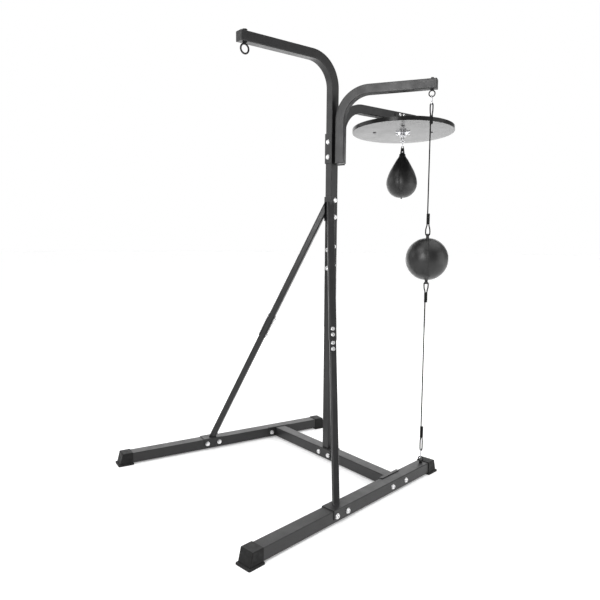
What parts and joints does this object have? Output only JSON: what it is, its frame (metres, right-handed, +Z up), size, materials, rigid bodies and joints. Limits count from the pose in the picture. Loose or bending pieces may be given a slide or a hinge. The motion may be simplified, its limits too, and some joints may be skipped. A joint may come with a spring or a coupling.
{
  "type": "punching bag stand",
  "caption": "Free-standing boxing stand: braced square-tube post with a heavy-bag arm, a speed bag on a round rebound board and a double-end ball on elastic cords.",
  "frame": {"origin": "bottom centre of the bounding box, on the floor", "axes": "+Z up; -Y towards the heavy-bag arm and the long ends of the rails; +Y towards the speed bag board; +X the side with the double-end ball"},
  "size_m": [1.2566, 1.7286, 2.0747],
  "materials": {
    "black_powder_coat": "satin black powder coat",
    "black_rubber": "matte moulded rubber",
    "black_plastic": "matte moulded plastic",
    "black_steel": "black coated steel",
    "zinc_steel": "bright zinc plate",
    "polished_steel": "bright plated steel",
    "coated_board": "satin light grey face, dark edge",
    "bag_leather": "smooth black leather, soft shine",
    "ball_leather": "smooth dark leather",
    "bladder_rubber": "soft rubber",
    "braided_cord": "braided elastic cord",
    "crimp_sleeve": "black crimp sleeve"
  },
  "bodies": {
    "stand": {"rail_right": "black_powder_coat", "rail_left": "black_powder_coat", "cross_beam": "black_powder_coat", "beam_brackets": "black_powder_coat", "rail_saddles": "black_powder_coat", "post_saddle": "black_powder_coat", "post_lower": "black_powder_coat", "post_splice_tube": "black_powder_coat", "post_upper": "black_powder_coat", "arm_bracket": "black_powder_coat", "side_arm": "black_powder_coat", "rear_arm": "black_powder_coat", "head_bracket": "black_powder_coat", "brace_upper_right": "black_powder_coat", "brace_upper_left": "black_powder_coat", "brace_lower_right": "black_powder_coat", "brace_lower_left": "black_powder_coat", "brace_splice_plates": "black_powder_coat", "board_hanger": "black_powder_coat", "feet": "black_rubber", "tube_caps": "black_plastic", "front_eye_bolt": "black_steel", "side_eye_bolt": "black_steel", "rail_eye_bolt": "black_steel", "eye_bolt_nuts": "black_steel", "m10_bolts": "zinc_steel", "m10_washers": "zinc_steel", "m10_nuts": "zinc_steel", "m8_bolts": "zinc_steel", "m8_washers": "zinc_steel", "m8_nuts": "zinc_steel", "board_bolts": "zinc_steel", "swivel_base": "polished_steel", "swivel_screws": "polished_steel", "swivel_housing": "polished_steel", "swivel_keeper": "polished_steel", "board": "coated_board"},
    "swivel_hook": {"swivel_hook": "polished_steel"},
    "bag": {"bag_link": "polished_steel", "bag_tab": "bag_leather", "bag_eyelet": "polished_steel", "bag_collar": "bag_leather", "bag_shell": "bag_leather", "bag_bladder": "bladder_rubber", "bag_valve": "bladder_rubber"},
    "upper_hook": {"upper_hook": "polished_steel", "upper_hook_gate": "polished_steel"},
    "ball": {"upper_cord": "braided_cord", "ball_sleeves": "crimp_sleeve", "ball_lugs": "ball_leather", "ball_shell": "ball_leather", "ball_bladder": "bladder_rubber", "ball_valve": "bladder_rubber", "ball_loop": "braided_cord"},
    "lower_hook": {"lower_hook": "polished_steel", "lower_hook_gate": "polished_steel"},
    "lower_cord": {"lower_cord": "braided_cord", "lower_sleeve": "crimp_sleeve"}
  },
  "joints": [
    {"name": "swivel_spin", "type": "hinge", "parent": "stand", "child": "swivel_hook", "pos_m": [0, 0.58383, 1.734], "axis": [0, 0, 1], "continuous": true},
    {"name": "bag_swing", "type": "hinge", "parent": "swivel_hook", "child": "bag", "pos_m": [0, 0.58383, 1.6945], "axis": [0.7431, 0.6691, 0], "range_deg": [-75, 75]},
    {"name": "upper_hook_swing", "type": "hinge", "parent": "stand", "child": "upper_hook", "pos_m": [0.43511, 0.29083, 1.8212], "axis": [0.8624, 0.5063, 0], "range_deg": [-4.5, 4.5], "stiffness_Nm_per_rad": 20},
    {"name": "ball_swing", "type": "hinge", "parent": "upper_hook", "child": "ball", "pos_m": [0.43511, 0.29083, 1.7843], "axis": [0.5063, -0.8624, 0], "range_deg": [-4.5, 4.5], "stiffness_Nm_per_rad": 20},
    {"name": "lower_hook_swing", "type": "hinge", "parent": "stand", "child": "lower_hook", "pos_m": [0.43511, 0.29083, 0.0914], "axis": [0.8624, 0.5063, 0], "range_deg": [-5.8, 5.8]},
    {"name": "lower_cord_swing", "type": "hinge", "parent": "lower_hook", "child": "lower_cord", "pos_m": [0.43511, 0.29083, 0.1283], "axis": [0.5063, -0.8624, 0], "range_deg": [-5.8, 5.8], "deforming": ["lower_cord"]}
  ],
  "couplings": [
    {"joint": "lower_hook_swing", "follows": "upper_hook_swing", "ratio": -1.2447},
    {"joint": "lower_cord_swing", "follows": "ball_swing", "ratio": -1.2571}
  ]
}
